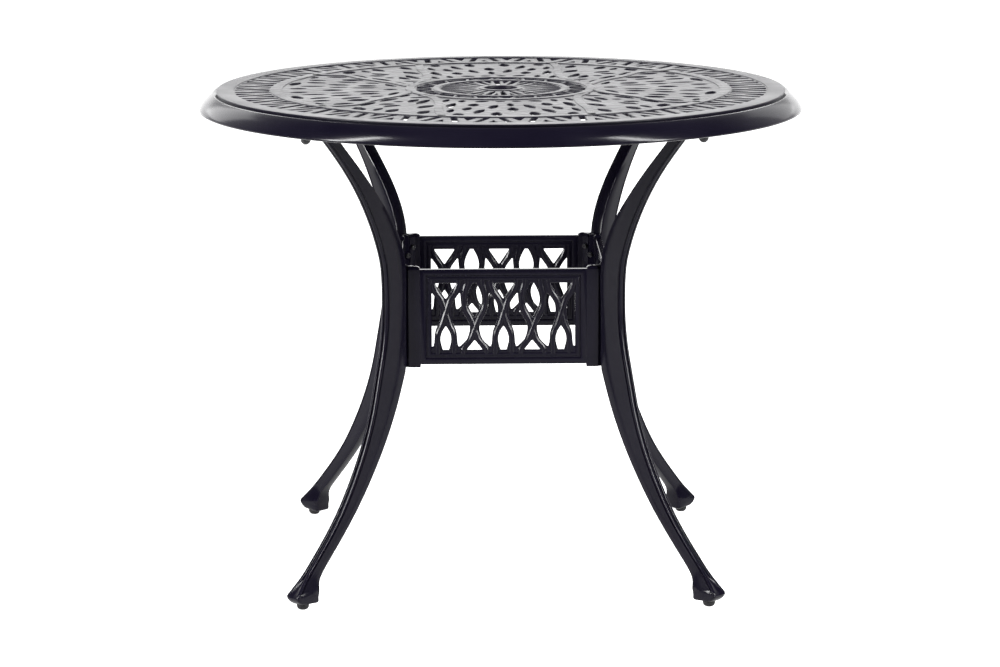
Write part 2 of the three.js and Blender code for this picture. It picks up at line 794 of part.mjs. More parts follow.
function glidePad() {
  const well = studRadius + clearance;
  const wellBottom = studBottom - clearance;
  return turned([
    [0, 0],
    ...padShares.map(([out, up]) => [glideRadius * out, padTop * up]),
    [glideTopRadius, padTop],
    [well, padTop],
    [well, wellBottom],
    [0, wellBottom],
  ], glideSides);
}

for (const [place, angle] of Object.entries(legAngles)) {
  addPiece(`glide_pad_${place}`, placed(glidePad(), footRadius, angle), nylon);
  const stud = bar(studRadius, studBottom, studBottom + studLength, studSides);
  addPiece(`glide_stud_${place}`, placed(stud, footRadius, angle), zincSteel);
}

export default table;
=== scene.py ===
# Round cast-metal patio table with an umbrella hole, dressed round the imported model.
# Metres, +Z up, floor at zero. The legs stand on the diagonals.

from math import cos, degrees, pi, radians, sin, sqrt

import bpy
from mathutils import Matrix, Vector


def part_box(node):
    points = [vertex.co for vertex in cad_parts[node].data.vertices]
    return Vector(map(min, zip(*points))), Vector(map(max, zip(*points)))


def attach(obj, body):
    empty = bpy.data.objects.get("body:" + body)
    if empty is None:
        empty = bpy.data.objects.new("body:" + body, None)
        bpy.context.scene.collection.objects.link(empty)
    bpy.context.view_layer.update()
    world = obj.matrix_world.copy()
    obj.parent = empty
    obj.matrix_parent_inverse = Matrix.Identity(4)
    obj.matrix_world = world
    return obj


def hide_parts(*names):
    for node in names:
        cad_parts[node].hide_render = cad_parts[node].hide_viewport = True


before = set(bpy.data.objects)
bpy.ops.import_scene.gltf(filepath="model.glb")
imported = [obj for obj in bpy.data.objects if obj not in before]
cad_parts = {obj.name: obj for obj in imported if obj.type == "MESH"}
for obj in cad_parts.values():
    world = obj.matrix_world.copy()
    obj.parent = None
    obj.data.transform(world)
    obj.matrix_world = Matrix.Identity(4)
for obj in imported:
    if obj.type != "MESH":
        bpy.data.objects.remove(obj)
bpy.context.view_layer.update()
mm = 0.001
print("frame loaded")

# Main sizes, read from the frame
topLow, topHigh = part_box("table_top")
tableHeight = topHigh[2]
rimBottom = topLow[2]
panelFace = -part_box("panel_front")[0][1]
padLow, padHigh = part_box("glide_pad_rear_right")
footRadius = (padLow[0] + padHigh[0]) / 2 * sqrt(2)
clearance = 0.3 * mm         # between pieces that are bolted together
lap = 1 * mm                 # how far the parts of one casting run into each other

legTurns = {"front_left": 225, "front_right": 315, "rear_right": 45, "rear_left": 135}


def addObject(name, data):
    added = bpy.data.objects.new(name, data)
    bpy.context.scene.collection.objects.link(added)
    return added


# Camera, at the photograph's place and angle

camera = {
    "distance": 5.4488,      # from the umbrella hole's axis, along the floor
    "height": 1.3852,
    "sideways": -0.0019,
    "pitch": 10.769,         # degrees down
    "roll": -0.15,
    "tableTurn": 1.184,      # degrees that the table is turned from the view
    "lens": 131.94,
}


def makeCamera(c):
    pitch = radians(c["pitch"])
    ahead = Vector((0, cos(pitch), -sin(pitch)))
    right = Vector((1, 0, 0))
    up = right.cross(ahead)
    roll = radians(c["roll"])
    rolledRight = right * cos(roll) + up * sin(roll)
    rolledUp = up * cos(roll) - right * sin(roll)
    place = Matrix((rolledRight, rolledUp, -ahead)).transposed().to_4x4()
    place.translation = (c["sideways"], -c["distance"], c["height"])
    data = bpy.data.cameras.new("viewCamera")
    data.sensor_fit = "HORIZONTAL"
    data.sensor_width = 36
    data.lens = c["lens"]
    data.clip_end = 100
    view = addObject("viewCamera", data)
    view.matrix_world = Matrix.Rotation(radians(-c["tableTurn"]), 4, "Z") @ place
    bpy.context.scene.camera = view


makeCamera(camera)
print("camera set")


# Materials

# A node with its settings and inputs. A socket is linked in, and any other value is written in.
def addNode(tree, kind, inputs, **settings):
    node = tree.nodes.new("ShaderNode" + kind)
    for name, value in settings.items():
        setattr(node, name, value)
    for key, value in inputs.items():
        if isinstance(value, bpy.types.NodeSocket):
            tree.links.new(value, node.inputs[key])
        else:
            node.inputs[key].default_value = value
    return node


# A change from one value to another while the socket's value goes from start to end
def ranged(tree, value, start, end, low, high, kind="LINEAR"):
    inputs = {"Value": value, "From Min": start, "From Max": end, "To Min": low, "To Max": high}
    return addNode(tree, "MapRange", inputs, interpolation_type=kind).outputs["Result"]


noiseSpan = (0.3, 0.7)       # nearly all of a noise lies in here


def objectNoise(tree, scale, detail, rough=0.5):
    place = addNode(tree, "TexCoord", {}).outputs["Object"]
    inputs = {"Vector": place, "Scale": scale, "Detail": detail, "Roughness": rough}
    return addNode(tree, "TexNoise", inputs).outputs["Fac"]


# The gentle unevenness of a sand casting, inside a given radius
def castWaves(tree, s):
    place = addNode(tree, "TexCoord", {}).outputs["Object"]
    flat = addNode(tree, "VectorMath", {0: place, 1: (1, 1, 0)}, operation="MULTIPLY").outputs["Vector"]
    away = addNode(tree, "VectorMath", {0: flat}, operation="LENGTH").outputs["Value"]
    strength = ranged(tree, away, s["wavesEnd"], s["wavesEnd"] - s["wavesFade"], 0, s["wavesStrength"])
    waves = objectNoise(tree, s["waves"], 2)
    inputs = {"Height": waves, "Strength": strength, "Distance": s["wavesDepth"]}
    return addNode(tree, "Bump", inputs).outputs["Normal"]


# A coat of paint, plastic or oxide: broad patches in colour and gloss over a fine skin
def coated(name, s):
    material = bpy.data.materials.new(name)
    material.use_nodes = True
    tree = material.node_tree
    shader = tree.nodes["Principled BSDF"]
    patches = objectNoise(tree, s["patches"], 3)
    colors = {"Factor": ranged(tree, patches, *noiseSpan, 0, 1), "A": (*s["color"], 1),
              "B": (*s["patchColor"], 1)}
    color = addNode(tree, "Mix", colors, data_type="RGBA").outputs["Result"]
    gloss = ranged(tree, patches, *noiseSpan, s["roughness"] - s["spread"], s["roughness"] + s["spread"])
    skin = {"Height": objectNoise(tree, s["grain"], 2, 0.6), "Strength": s["grainStrength"],
            "Distance": s["grainDepth"]}
    if "waves" in s:
        skin["Normal"] = castWaves(tree, s)
    bump = addNode(tree, "Bump", skin).outputs["Normal"]
    tree.links.new(color, shader.inputs["Base Color"])
    tree.links.new(gloss, shader.inputs["Roughness"])
    tree.links.new(bump, shader.inputs["Normal"])
    shader.inputs["Metallic"].default_value = s.get("metallic", 0)
    shader.inputs["Specular IOR Level"].default_value = s.get("specular", 0.5)
    return material


powderCoat = coated("powderCoat", {
    "color": (0.0032, 0.0026, 0.0066),
    "patchColor": (0.005, 0.0043, 0.009),
    "patches": 9,            # to the metre, as the grain and the waves are
    "roughness": 0.16,
    "spread": 0.03,
    "grain": 900,
    "grainStrength": 0.14,
    "grainDepth": 0.05 * mm,
    "specular": 0.13,
})
topCoat = coated("topCoat", {
    "color": (0.0062, 0.0054, 0.0105),
    "patchColor": (0.009, 0.008, 0.0135),
    "patches": 14,
    "roughness": 0.34,
    "spread": 0.05,
    "grain": 700,
    "grainStrength": 0.3,
    "grainDepth": 0.05 * mm,
    "specular": 0.145,
    "waves": 62,
    "wavesDepth": 2.6 * mm,
    "wavesStrength": 1,
    "wavesEnd": 402 * mm,    # the radius beyond which the top is smooth
    "wavesFade": 10 * mm,
})
# What both steels share
steel = {
    "spread": 0.08,
    "grain": 1500,
    "grainStrength": 0.3,
    "grainDepth": 0.04 * mm,
}
blackSteel = coated("blackSteel", {
    **steel,
    "color": (0.012, 0.012, 0.014),
    "patchColor": (0.02, 0.02, 0.022),
    "patches": 200,
    "roughness": 0.32,
    "metallic": 0.4,
})
zincSteel = coated("zincSteel", {
    **steel,
    "color": (0.42, 0.43, 0.44),
    "patchColor": (0.55, 0.55, 0.54),
    "patches": 260,
    "roughness": 0.34,
    "metallic": 1,
})
blackNylon = coated("blackNylon", {
    "color": (0.011, 0.011, 0.012),
    "patchColor": (0.019, 0.019, 0.02),
    "patches": 160,
    "roughness": 0.52,
    "spread": 0.08,
    "grain": 1800,
    "grainStrength": 0.4,
    "grainDepth": 0.05 * mm,
    "specular": 0.2,
})
print("materials made")


# Mesh helpers. A shell is a list of points with a list of faces.

def mixed(low, high, share):
    return low + share * (high - low)


# From start to end, leaving and arriving with the leans given
def eased(start, end, leaving, arriving, t):
    return (start * (1 + 2 * t) * (1 - t) ** 2 + end * (3 - 2 * t) * t ** 2
            + leaving * t * (1 - t) ** 2 - arriving * (1 - t) * t ** 2)


# A smooth curve through (place, value) pairs, read at one place
def smoothAt(points, at):
    last = len(points) - 1
    index = max(i for i in range(last) if i == 0 or points[i][0] <= at)

    def slope(i):
        before, after = points[max(i - 1, 0)], points[min(i + 1, last)]
        return (after[1] - before[1]) / (after[0] - before[0])

    (startAt, start), (endAt, end) = points[index], points[index + 1]
    run = endAt - startAt
    t = min(max((at - startAt) / run, 0), 1)
    return eased(start, end, run * slope(index), run * slope(index + 1), t)


def steps(count, low=0.0, high=1.0):
    return [mixed(low, high, i / count) for i in range(count + 1)]


# The points of a path in a plane, each with the direction to its left
def withLeft(path):
    last = len(path) - 1
    for i, point in enumerate(path):
        ahead = (path[min(i + 1, last)] - path[max(i - 1, 0)]).normalized()
        yield point, Vector((-ahead.y, ahead.x))


def moved(shell, matrix):
    points, faces = shell
    return [matrix @ Vector(p) for p in points], faces


def joined(shells):
    points, faces = [], []
    for shellPoints, shellFaces in shells:
        first = len(points)
        points += [Vector(p) for p in shellPoints]
        faces += [[first + corner for corner in face] for face in shellFaces]
    return points, faces


# A solid skinned over rings of points, first to last, each anticlockwise as the last one sees it
def loftShell(rings):
    count = len(rings[0])
    points = [p for ring in rings for p in ring]
    faces = [list(range(count))[::-1]]
    for level in range(len(rings) - 1):
        low, high = level * count, (level + 1) * count
        for side in range(count):
            after = (side + 1) % count
            faces.append([low + side, low + after, high + after, high + side])
    faces.append([(len(rings) - 1) * count + side for side in range(count)])
    return points, faces


# Rows of (radius, height) pairs turned about Z. Rows that start off the axis close on themselves.
def latheShell(rows, sides, radiusAt=None):
    closed = rows[0][0] != 0
    points, starts = [], []
    for radius, height in rows:
        starts.append(len(points))
        if radius == 0:
            points.append((0, 0, height))
            continue
        for side in range(sides):
            angle = 2 * pi * side / sides
            reach = radiusAt(radius, height, angle) if radiusAt else radius
            points.append((reach * cos(angle), reach * sin(angle), height))
    faces = []
    count = len(rows)
    for row in range(count if closed else count - 1):
        low, high = row, (row + 1) % count
        for side in range(sides):
            after = (side + 1) % sides
            a, b = starts[low] + side, starts[low] + after
            c, d = starts[high] + after, starts[high] + side
            if rows[low][0] == 0:
                faces.append([starts[low], c, d])
            elif rows[high][0] == 0:
                faces.append([a, b, starts[high]])
            else:
                faces.append([a, b, c, d])
    return points, faces


# A flat plate in XY with openings right through it and softened edges
def plateShell(outline, openings, bottom, top, edge, rounds=2):
    curve = bpy.data.curves.new("plateCurve", "CURVE")
    curve.dimensions = "2D"
    curve.fill_mode = "BOTH"
    curve.extrude = (top - bottom) / 2 - edge
    curve.bevel_depth = edge
    curve.bevel_resolution = rounds
    curve.offset = -edge
    for loop in [outline, *openings]:
        spline = curve.splines.new("POLY")
        spline.points.add(len(loop) - 1)
        for point, (x, y) in zip(spline.points, loop):
            point.co = (x, y, 0, 1)
        spline.use_cyclic_u = True
    holder = addObject("plateCurve", curve)
    graph = bpy.context.evaluated_depsgraph_get()
    mesh = bpy.data.meshes.new_from_object(holder.evaluated_get(graph))
    lift = Vector((0, 0, (top + bottom) / 2))
    points = [v.co + lift for v in mesh.vertices]
    faces = [list(face.vertices) for face in mesh.polygons]
    bpy.data.objects.remove(holder)
    bpy.data.curves.remove(curve)
    bpy.data.meshes.remove(mesh)
    return points, faces


def circle(radius, sides, middle=(0, 0)):
    return [(middle[0] + radius * cos(2 * pi * i / sides),
             middle[1] + radius * sin(2 * pi * i / sides)) for i in range(sides)]


# Points on an arc, from one angle to another in degrees
def arc(x, y, radius, pieces, start, end):
    turns = [radians(angle) for angle in steps(pieces, start, end)]
    return [(x + radius * cos(turn), y + radius * sin(turn)) for turn in turns]


# An outline with its corners rounded
def softened(outline, radius, pieces=3):
    soft = []
    count = len(outline)
    most = 0.42              # of a side that one corner may take up
    for i, corner in enumerate(outline):
        corner = Vector(corner)
        before, after = Vector(outline[i - 1]) - corner, Vector(outline[(i + 1) % count]) - corner
        start = corner + before * min(radius / before.length, most)
        end = corner + after * min(radius / after.length, most)
        for t in steps(pieces):
            soft.append(tuple(start * (1 - t) ** 2 + corner * 2 * t * (1 - t) + end * t ** 2))
    return soft


# The material is one for the whole piece, or a list with one for each shell
def makePiece(name, shells, material, nodes, body="table", turn=0.0, sharpFrom=32):
    points, faces = joined(shells)
    perShell = material if isinstance(material, list) else [material] * len(shells)
    coats = list(dict.fromkeys(perShell))
    matrix = Matrix.Rotation(radians(turn), 4, "Z")
    mesh = bpy.data.meshes.new(name)
    mesh.from_pydata([matrix @ p for p in points], [], faces)
    coatOf = [coats.index(coat) for coat, shell in zip(perShell, shells) for face in shell[1]]
    for coat in coats:
        mesh.materials.append(coat)
    mesh.polygons.foreach_set("material_index", coatOf)
    mesh.validate()
    mesh.shade_smooth()
    mesh.set_sharp_from_angle(angle=radians(sharpFrom))
    piece = addObject(name, mesh)
    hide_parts(*nodes)
    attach(piece, body)


# Top: a pierced lattice plate inside a rolled rim

top = {
    "plateThickness": 6 * mm,
    "plateEdge": 1.3 * mm,
    "relief": 1.1 * mm,      # how far the rings and straps stand above the lattice
    "plateRadius": 421 * mm,
    "plateSides": 192,
    "beadRadius": 1.4 * mm,  # of the bead round the outer ring
    "holeRadius": 25 * mm,
    "holeSides": 64,
    "hubRing": 33 * mm,
    "petalStart": 2 * mm,    # from the hub's ring to the long petals' tips
    "petalEnd": 90 * mm,
    "petalRepeats": 20,
    "petalRib": 4.4 * mm,
    "petalNeck": 13 * mm,
    "petalNeckWidth": 6 * mm,
    "petalCorner": 3.5 * mm,
    "bandInner": 104 * mm,
    "bandOuter": 127 * mm,
    "bandRepeats": 20,
    "bandRib": 5 * mm,
    "bandCorner": 4 * mm,
    "fieldInner": 145 * mm,
    "fieldOuter": 325 * mm,
    "borderInner": 345 * mm,
    "borderOuter": 396 * mm,
    "borderRepeats": 32,
    "triangleBase": 17 * mm,
    "triangleHeight": 28 * mm,
    "leaningSlot": 9 * mm,
    "lean": 13 * mm,
    "patternTurn": 2.9,      # degrees
    "borderCorner": 3 * mm,
    "slotBow": 0.04,         # how far a leaf-shaped slot bows, as a share of its length
    "slotFullness": 0.7,     # nearer 0, a slot is blunter
    "slotPieces": 8,
    # Raised rings, as inner and outer radius
    "rings": [(25 * mm, 33 * mm), (92 * mm, 102 * mm), (129 * mm, 143 * mm), (326.5 * mm, 343.5 * mm)],
    "outerRing": (398 * mm, 424 * mm),
    "ringEdge": 0.5 * mm,
    "ringSides": 224,
    "outerRingSides": 288,
    "ringSink": 0.6 * mm,    # how far the rings and straps go into the lattice
    "groove": [(3.4, 5.2), (2.2, 5), (1.8, 3)],   # mm in from the outer ring and down, below its bead
}


def polar(angle, radius):
    turn = radians(angle + top["patternTurn"])
    return radius * sin(turn), -radius * cos(turn)


def spread(length, radius):
    return degrees(length / radius)


# A slot from its corners in polar places
def roundedSlot(places, corner):
    return softened([polar(angle, radius) for angle, radius in places], corner)


# A three-cornered slot, with the reach of its base to either side in degrees
def triangleSlot(angle, reach, base, tip, corner):
    return roundedSlot([(angle - reach, base), (angle, tip), (angle + reach, base)], corner)


def petalSlots(s):
    slots = []
    pitch = 360 / s["petalRepeats"]
    start, end, corner = s["hubRing"], s["petalEnd"], s["petalCorner"]
    half = pitch / 4 - spread(s["petalRib"] / 2, end)
    neck = start + s["petalNeck"]
    halfNeck = spread(s["petalNeckWidth"] / 2, neck)
    for repeat in range(s["petalRepeats"]):
        angle = repeat * pitch
        slots.append(roundedSlot([(angle, start + s["petalStart"]), (angle + halfNeck, neck),
                                  (angle + half, end), (angle - half, end), (angle - halfNeck, neck)],
                                 corner))
        angle += pitch / 2
        slots.append(roundedSlot([(angle, (start + end) / 2), (angle + half, end), (angle - half, end)],
                                 corner))
    return slots


def bandSlots(s):
    slots = []
    pitch = 360 / s["bandRepeats"]
    ends = [(s["bandInner"], s["bandOuter"]), (s["bandOuter"], s["bandInner"])]
    for half in range(2 * s["bandRepeats"]):
        base, tip = ends[half % 2]
        reach = pitch / 2 - spread(s["bandRib"], base)
        slots.append(triangleSlot(half * pitch / 2, reach, base, tip, s["bandCorner"]))
    return slots


def borderSlots(s):
    slots = []
    pitch = 360 / s["borderRepeats"]
    inner, outer, corner = s["borderInner"], s["borderOuter"], s["borderCorner"]
    halfSlot = s["leaningSlot"] / 2
    for half in range(2 * s["borderRepeats"]):
        angle = half * pitch / 2
        base, sign = ((inner, 1), (outer, -1))[half % 2]
        reach = spread(s["triangleBase"] / 2, base)
        slots.append(triangleSlot(angle, reach, base, base + sign * s["triangleHeight"], corner))
        lean = sign * s["lean"] / 2
        midway = angle + pitch / 4
        slots.append(roundedSlot([(midway + spread(lean - halfSlot, inner), inner),
                                  (midway + spread(lean + halfSlot, inner), inner),
                                  (midway + spread(halfSlot - lean, outer), outer),
                                  (midway - spread(lean + halfSlot, outer), outer)], corner))
    return slots


# Slots of the main field in one quarter, front axis to side axis: both tips as degrees and share of
# the way from the inner to the outer ring, and the width
broad, wide, plain, narrow = 20 * mm, 16 * mm, 13 * mm, 10 * mm
quarterSlots = [
    (5.6, 0.3, 7.3, 0.54, plain), (15.4, 0.23, 14.6, 0.4, wide), (24.7, 0.24, 22.1, 0.52, plain),
    (15, 0.47, 15.2, 0.66, plain), (19.7, 0.6, 18.6, 0.81, narrow), (9.5, 0.58, 10.9, 0.85, plain),
    (5.2, 0.75, 4.7, 0.98, wide), (16, 0.85, 14.2, 0.985, wide), (25.6, 0.755, 25.1, 0.965, wide),
    (35.3, 0.77, 34.2, 0.98, wide), (47.4, 0.875, 42, 0.97, broad), (29.9, 0.43, 30.9, 0.655, wide),
    (41.4, 0.14, 36.8, 0.43, plain), (46.8, 0.18, 42.8, 0.37, plain), (34, 0.04, 31, 0.2, narrow),
    (10.6, 0.06, 17, 0.13, plain), (1.6, 0.07, 7, 0.075, narrow), (43.9, 0.52, 47, 0.635, plain),
    (40.3, 0.55, 41.8, 0.73, plain), (40.2, 0.79, 39, 0.95, narrow), (51.9, 0.56, 48.5, 0.79, plain),
    (55.6, 0.26, 52.4, 0.5, plain), (59.6, 0.48, 61, 0.68, broad), (61.8, 0.95, 58, 0.955, narrow),
    (54.4, 0.72, 56.3, 0.9, wide), (78.4, 0.955, 71.4, 0.94, wide), (64.6, 0.78, 65.2, 0.93, plain),
    (76.1, 0.24, 76.2, 0.41, wide), (75, 0.48, 74.6, 0.67, plain), (85.6, 0.8, 85.4, 0.95, plain),
    (77.5, 0.07, 68, 0.21, narrow), (65.2, 0.045, 58.8, 0.19, narrow), (67.1, 0.27, 66.4, 0.4, narrow),
    (82.4, 0.21, 83.4, 0.44, narrow), (71, 0.71, 70.6, 0.885, plain), (79.2, 0.67, 79.8, 0.885, narrow),
    (81.4, 0.47, 81.6, 0.63, narrow), (66.6, 0.47, 66.4, 0.66, plain), (25, 0.04, 23, 0.17, narrow),
    (49.4, 0.05, 53.6, 0.17, narrow), (48.6, 0.43, 46.6, 0.36, narrow),
]
frontAxisSlots = [(0.2, 0.38, narrow), (0.46, 0.68, wide)]
sideAxisSlots = [(0.05, 0.17, plain), (0.5, 0.68, wide)]


def leafSlot(s, angleA, shareA, angleB, shareB, width, bow=0.0):
    start = Vector(polar(angleA, mixed(s["fieldInner"], s["fieldOuter"], shareA)))
    end = Vector(polar(angleB, mixed(s["fieldInner"], s["fieldOuter"], shareB)))
    along = end - start
    across = Vector((-along.y, along.x)).normalized()
    near, far = [], []
    for t in steps(s["slotPieces"]):
        middle = start + along * t + across * bow * along.length * 4 * t * (1 - t)
        reach = width / 2 * max(sin(pi * t), 0) ** s["slotFullness"]
        near.append(tuple(middle - across * reach))
        far.append(tuple(middle + across * reach))
    return near + far[-2:0:-1]


def fieldSlots(s):
    slots = []
    bow = s["slotBow"]
    for halfTurn in (0, 180):
        for angleA, shareA, angleB, shareB, width in quarterSlots:
            for side in (1, -1):
                slots.append(leafSlot(s, halfTurn + side * angleA, shareA, halfTurn + side * angleB, shareB,
                                      width, side * bow))
        for axis, axisSlots in ((0, frontAxisSlots), (90, sideAxisSlots)):
            for shareA, shareB, width in axisSlots:
                slots.append(leafSlot(s, halfTurn + axis, shareA, halfTurn + axis, shareB, width))
    return slots


# Raised straps, as points of one quarter of the pattern: mm to the side and to the front
strap = {
    "halfWidth": 6.2 * mm,
    "edge": 0.5 * mm,
    "pieces": 3,             # from one point to the next
    "routes": [
        [(122, 76), (112, 92), (106, 108), (103, 130), (102, 155), (102, 182), (103, 202), (105, 222),
         (107, 246), (107, 280), (106, 320)],
        [(137, 36), (147, 58), (158, 79), (174, 100), (191, 122), (206, 146), (214, 163), (223, 177),
         (238, 187), (257, 191), (276, 192)],
    ],
}


# The section of a flat band with its upper edges bevelled
def bandSection(inner, outer, low, high, edge):
    return [(inner, low), (outer, low), (outer, high - edge), (outer - edge, high), (inner + edge, high),
            (inner, high - edge)]


# The outermost ring ends in a bead that overhangs the groove inside the rim
def outerRingShell(s, low):
    inner, outer = s["outerRing"]
    bead, edge = s["beadRadius"], s["ringEdge"]
    rows = [(outer - into * mm, tableHeight - down * mm) for into, down in s["groove"]]
    rows.insert(0, (rows[0][0], low))
    rows += arc(outer - bead, tableHeight - bead, bead, 8, -50, 90)
    rows += [(inner + edge, tableHeight), (inner, tableHeight - edge), (inner, low)]
    return latheShell(rows, s["outerRingSides"])


# A flat band along a route in the top's plane
def strapShell(s, route, low, high):
    path = [Vector(p) for p in route]
    fine = []
    for i in range(len(path) - 1):
        before, after = path[max(i - 1, 0)], path[min(i + 2, len(path) - 1)]
        start, end = path[i], path[i + 1]
        for t in steps(s["pieces"])[:-1]:
            fine.append(eased(start, end, (end - before) / 2, (after - start) / 2, t))
    fine.append(path[-1])
    section = bandSection(-s["halfWidth"], s["halfWidth"], low, high, s["edge"])
    return loftShell([[(*(point + left * out), height) for out, height in section]
                      for point, left in withLeft(fine)])


def strapShells(s, low, high):
    shells = []
    turn = radians(top["patternTurn"])
    for route in s["routes"]:
        for side in (1, -1):
            for end in (1, -1):
                points = [(side * x * mm, -end * y * mm) for x, y in route]
                points = [(x * cos(turn) - y * sin(turn), x * sin(turn) + y * cos(turn))
                          for x, y in points]
                shells.append(strapShell(s, points, low, high))
    return shells


rim = {
    # mm out and down, along its underside to its lowest edge and back up over its outside
    "curve": [(-1.6, 5), (-6, 4.6), (-6, 7), (6, 8.4), (12, 14), (16.6, 25), (16.5, 28), (17.2, 29.8),
              (20.5, 30.2), (23.5, 30), (25.4, 29.2), (26, 27.6), (25.2, 25.2), (22, 20), (17.5, 14.2),
              (12, 9.2), (6, 4.6), (4.2, 3.9), (3, 4.3), (1.4, 5.3)],
    "sides": 160,
}
bosses = {
    "radius": 12 * mm,
    "places": [292 * mm, 400 * mm],
    "edge": 1 * mm,
    "draft": 0.8 * mm,
    "sides": 28,
}
hub = {
    "outer": 30 * mm,
    "depth": 14 * mm,
    "innerEdge": 0.6 * mm,
    "outerEdge": 0.8 * mm,
    "draft": 1 * mm,
}


def makeTop():
    s = top
    plateBottom, plateTop = tableHeight - s["plateThickness"], tableHeight - s["relief"]
    outline = circle(s["plateRadius"], s["plateSides"])
    openings = [circle(s["holeRadius"], s["holeSides"]), *petalSlots(s), *bandSlots(s), *borderSlots(s),
                *fieldSlots(s)]
    shells = [plateShell(outline, openings, plateBottom, plateTop, s["plateEdge"], 1)]
    sunk = plateTop - s["ringSink"]
    for inner, outer in s["rings"]:
        rows = bandSection(inner, outer, sunk, tableHeight, s["ringEdge"])
        shells.append(latheShell(rows, s["ringSides"]))
    shells += strapShells(strap, sunk, tableHeight)
    shells.append(outerRingShell(s, sunk))
    rimRows = [(s["outerRing"][1] + out * mm, tableHeight - down * mm) for out, down in rim["curve"]]
    rimShell = latheShell(rimRows, rim["sides"])
    shells.append(rimShell)
    hole, hubLow, plateLow = s["holeRadius"], tableHeight - hub["depth"], plateBottom + lap
    hubRows = [(hole, hubLow + hub["innerEdge"]), (hole + hub["innerEdge"], hubLow),
               (hub["outer"] - hub["outerEdge"], hubLow), (hub["outer"], hubLow + hub["outerEdge"]),
               (hub["outer"] + hub["draft"], plateLow), (hole, plateLow)]
    shells.append(latheShell(hubRows, s["holeSides"]))
    radius, edge = bosses["radius"], bosses["edge"]
    bossRows = [(0, rimBottom), (radius - edge, rimBottom), (radius, rimBottom + edge),
                (radius + bosses["draft"], plateLow), (0, plateLow)]
    boss = latheShell(bossRows, bosses["sides"])
    for turn in legTurns.values():
        for place in bosses["places"]:
            spot = Matrix.Rotation(radians(turn), 4, "Z") @ Matrix.Translation((place, 0, 0))
            shells.append(moved(boss, spot))
    coats = [powderCoat if shell is rimShell else topCoat for shell in shells]
    makePiece("tableTop", shells, coats, ["table_top"], sharpFrom=50)


makeTop()
print("top made")


# Legs: bowed castings with two beads down the outer face, a broad foot, and a flange under the top

leg = {
    "waistHeight": 415 * mm,
    "waistInner": 212 * mm,
    "waistDepth": 36 * mm,
    "flareInner": 352 * mm,
    "flareDepth": 21 * mm,
    "ankleHeight": 62 * mm,
    "ankleInner": 372 * mm,
    "ankleDepth": 28 * mm,
    "innerWidth": 22 * mm,
    "outerWidth": 12 * mm,
    "ankleInnerWidth": 15 * mm,
    "ankleOuterWidth": 13 * mm,
    # mm out from the inner face and in from the side
    "innerEdge": [(0, 1.8), (0.5, 0.5), (1.8, 0.1)],
    "beadBack": 5 * mm,      # from the outer face to the notch behind each bead
    "notch": (0.8 * mm, 1.3 * mm),   # its slope and its depth
    # mm back from the outer face and in from the side: each bead has a flat crown that leans sideways
    "beadShape": [(3.3, 0.3), (2, 0), (1.15, 0.3), (0.72, 0.9), (0.05, 3.6), (0.1, 4.2), (0.6, 4.9),
                  (1.7, 5.2)],
    "beadLean": 0.65,        # their lean at the floor, as a share of that at the waist
    "groove": 3.2 * mm,      # between the beads
    "seam": 0.4 * mm,        # half the width of its floor
    "stations": 48,
}
# Share of the height, share of the outer face's way out, share of the inner face's way out
upperShares = [(0.235, 0.016, 0), (0.37, 0.096, 0.065), (0.506, 0.219, 0.203),
               (0.646, 0.384, 0.4), (0.78, 0.584, 0.614), (0.92, 0.838, 0.86), (1, 1, 1)]
lowerShares = [(0.13, 0.028, 0), (0.245, 0.085, 0), (0.3, 0.115, 0.035), (0.42, 0.184, 0.131),
               (0.547, 0.29, 0.262), (0.674, 0.434, 0.425), (0.8, 0.61, 0.618), (0.9, 0.79, 0.8), (1, 1, 1)]
flange = {
    "thickness": 6 * mm,
    "edge": 1 * mm,
    "width": 27 * mm,
    "ends": [292 * mm, 400 * mm],
    "endPieces": 12,
    "hole": 3.3 * mm,
    "holeSides": 20,
}
foot = {
    # mm: height, then inner and outer face as seen from the glide's axis, and half the width of each
    "rows": [(8.6, -19.4, 8.5, 12.6, 9), (9.4, -20.6, 11.5, 13.6, 10.8), (12, -21.2, 15.5, 14.2, 12.2),
             (16, -21.2, 19.4, 14.2, 13), (21, -21.8, 21.6, 13.8, 13.2), (28, -22.4, 15.2, 12.8, 11.4),
             (36, -24, 7.6, 10.8, 9.4), (45, -29.2, -1.2, 9, 7.6)],
    "beadsEnd": 19 * mm,     # where the leg's beads have run out into the plain toe
    "beadsFade": 5 * mm,
    "corner": 4.5 * mm,
    "cornerMost": (0.45, 0.7),   # of the depth and of half the inner face
    "stations": 20,
    "crowding": 1.7,         # 1 spaces the stations evenly, and more crowds them to the floor
}


